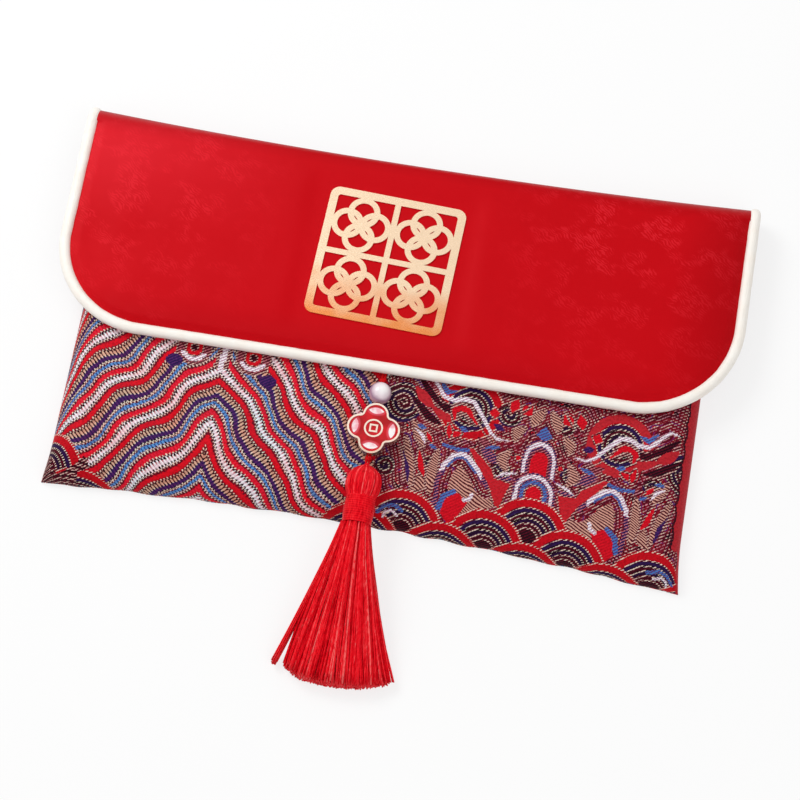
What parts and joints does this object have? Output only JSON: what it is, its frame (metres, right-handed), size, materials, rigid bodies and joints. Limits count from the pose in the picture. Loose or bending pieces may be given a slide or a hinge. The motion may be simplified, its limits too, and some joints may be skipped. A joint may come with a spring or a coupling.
{
  "type": "red envelope",
  "caption": "Cloth gift envelope: brocade pouch, piped satin flap folding over it, cut gold lattice plaque, and a tassel hung from the flap on a cord with a pearl and an enamelled charm.",
  "frame": {"origin": "middle of the back face of the closed envelope, on the surface it lies on", "axes": "+X along the fold to the right, +Y from the tassel towards the fold, +Z out of the front"},
  "size_m": [0.1864, 0.15, 0.0144],
  "materials": {
    "brocade": "woven silk brocade",
    "satin": "red satin with a tonal weave",
    "lining": "plain red lining cloth",
    "interlining": "white needled felt",
    "piping": "cream satin bias strip",
    "piping_core": "cotton filler cord",
    "magnet": "nickel-plated",
    "gold": "polished gold plating",
    "cord": "red twisted cord",
    "pearl": "pearl lustre",
    "charm_metal": "polished gold plating",
    "enamel_red": "glossy red enamel",
    "enamel_white": "glossy white to pink enamel",
    "thread": "lustrous red rayon thread"
  },
  "bodies": {
    "pouch": {"back_panel": "brocade", "back_interlining": "interlining", "back_lining": "lining", "front_panel": "brocade", "front_interlining": "interlining", "front_lining": "lining", "pouch_magnet": "magnet", "fold_satin": "satin", "fold_lining": "lining", "fold_piping": "piping"},
    "flap": {"flap_satin": "satin", "flap_interlining": "interlining", "flap_lining": "lining", "flap_magnet": "magnet", "piping_cover": "piping", "piping_core": "piping_core", "seal_plaque": "gold", "loop_anchor": "cord"},
    "hanging_cord": {"loop_cord": "cord"},
    "pearl": {"pearl_bead": "pearl"},
    "charm": {"charm_body": "charm_metal", "charm_enamel": "enamel_red", "charm_petals": "enamel_white", "charm_motif": "charm_metal", "charm_cord": "cord"},
    "tail": {"tail_cord": "cord"},
    "tassel": {"tassel_head": "thread", "tassel_band": "thread", "tassel_skirt": "thread"}
  },
  "joints": [
    {"name": "flap_fold", "type": "hinge", "parent": "pouch", "child": "flap", "pos_m": [0, 0.04888, 0.00513], "axis": [-1, 0, 0], "range_deg": [0, 175], "deforming": ["fold_satin", "fold_lining", "fold_piping"]},
    {"name": "cord_lift", "type": "hinge", "parent": "flap", "child": "hanging_cord", "pos_m": [0, -0.01295, 0.00962], "axis": [1, 0, 0], "range_deg": [-70, 0]},
    {"name": "pearl_spin", "type": "hinge", "parent": "hanging_cord", "child": "pearl", "pos_m": [0, -0.01681, 0.011], "axis": [0, 1, 0], "continuous": true},
    {"name": "charm_swing", "type": "hinge", "parent": "hanging_cord", "child": "charm", "pos_m": [0, -0.01996, 0.011], "axis": [0, 0, 1], "range_deg": [-20, 20]},
    {"name": "tail_swing", "type": "hinge", "parent": "charm", "child": "tail", "pos_m": [0, -0.03426, 0.011], "axis": [0, 0, 1], "range_deg": [-20, 20]},
    {"name": "tassel_lift", "type": "hinge", "parent": "tail", "child": "tassel", "pos_m": [0, -0.03681, 0.011], "axis": [1, 0, 0], "range_deg": [-60, 0]}
  ]
}
